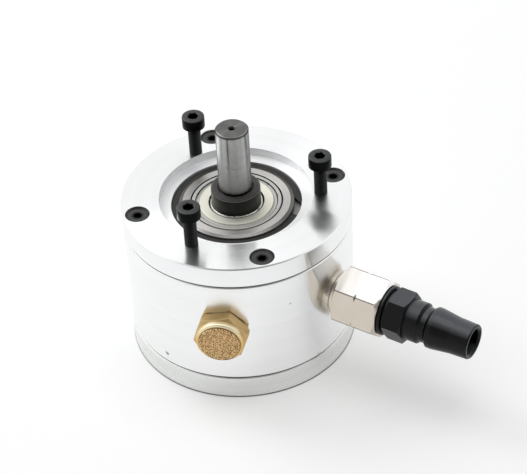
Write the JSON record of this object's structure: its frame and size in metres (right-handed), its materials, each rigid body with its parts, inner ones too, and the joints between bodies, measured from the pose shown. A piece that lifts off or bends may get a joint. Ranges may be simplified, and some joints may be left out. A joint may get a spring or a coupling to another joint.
{
  "type": "air vane motor",
  "caption": "Round aluminium air vane motor with a plain output shaft, a ball bearing in a front register, a radial quick-connect air inlet and a sintered exhaust silencer.",
  "frame": {"origin": "on the shaft axis at the flat rear face", "axes": "+Z out along the output shaft; +X through one of the mounting screws in the front face"},
  "size_m": [0.1063, 0.0822, 0.0758],
  "materials": {
    "turned_aluminium": "turned satin",
    "gasket": "matte sheet",
    "black_steel": "black oxide",
    "nickel_plate": "bright nickel plate",
    "brass": "machined",
    "sintered_bronze": "sintered grains",
    "bearing_steel": "ground",
    "shield_steel": "plated sheet",
    "ground_steel": "ground",
    "cage_plastic": "moulded",
    "seal_rubber": "matte",
    "vane_composite": "laminate"
  },
  "bodies": {
    "housing": {"front_plate": "turned_aluminium", "front_gasket": "gasket", "stator_body": "turned_aluminium", "rear_gasket": "gasket", "rear_plate": "turned_aluminium", "front_plate_screws": "black_steel", "rear_plate_screws": "black_steel", "mounting_screws": "black_steel", "inlet_adapter": "nickel_plate", "inlet_plug": "black_steel", "silencer_body": "brass", "silencer_disc": "sintered_bronze", "front_bearing_outer_ring": "bearing_steel", "front_bearing_shields": "shield_steel", "front_bearing_snap_ring": "black_steel", "rear_bearing_outer_ring": "bearing_steel", "rear_bearing_shields": "shield_steel", "shaft_seal": "seal_rubber"},
    "rotor_group": {"rotor": "ground_steel", "spacer_collar": "black_steel", "front_bearing_inner_ring": "bearing_steel", "rear_bearing_inner_ring": "bearing_steel"},
    "front_cage_group": {"front_bearing_cage": "cage_plastic", "front_bearing_balls": "bearing_steel"},
    "rear_cage_group": {"rear_bearing_cage": "cage_plastic", "rear_bearing_balls": "bearing_steel"},
    "vane_1_group": {"vane_1": "vane_composite"},
    "vane_2_group": {"vane_2": "vane_composite"},
    "vane_3_group": {"vane_3": "vane_composite"},
    "vane_4_group": {"vane_4": "vane_composite"}
  },
  "joints": [
    {"name": "rotor_spin", "type": "hinge", "parent": "housing", "child": "rotor_group", "pos_m": [0, 0, 0.03], "axis": [0, 0, 1], "continuous": true},
    {"name": "front_cage_spin", "type": "hinge", "parent": "housing", "child": "front_cage_group", "pos_m": [0, 0, 0.04315], "axis": [0, 0, 1], "continuous": true},
    {"name": "rear_cage_spin", "type": "hinge", "parent": "housing", "child": "rear_cage_group", "pos_m": [0, 0, 0.0046], "axis": [0, 0, 1], "continuous": true},
    {"name": "vane_1_slide", "type": "slide", "parent": "rotor_group", "child": "vane_1_group", "axis": [0.9397, -0.342, 0], "range_m": [0, 0.0007]},
    {"name": "vane_2_slide", "type": "slide", "parent": "rotor_group", "child": "vane_2_group", "axis": [0.342, 0.9397, 0], "range_m": [0, 0.0007]},
    {"name": "vane_3_slide", "type": "slide", "parent": "rotor_group", "child": "vane_3_group", "axis": [-0.9397, 0.342, 0], "range_m": [0, 0.0007]},
    {"name": "vane_4_slide", "type": "slide", "parent": "rotor_group", "child": "vane_4_group", "axis": [-0.342, -0.9397, 0], "range_m": [0, 0.0007]}
  ],
  "couplings": [
    {"joint": "front_cage_spin", "follows": "rotor_spin", "ratio": 0.3458},
    {"joint": "rear_cage_spin", "follows": "rotor_spin", "ratio": 0.39375}
  ]
}
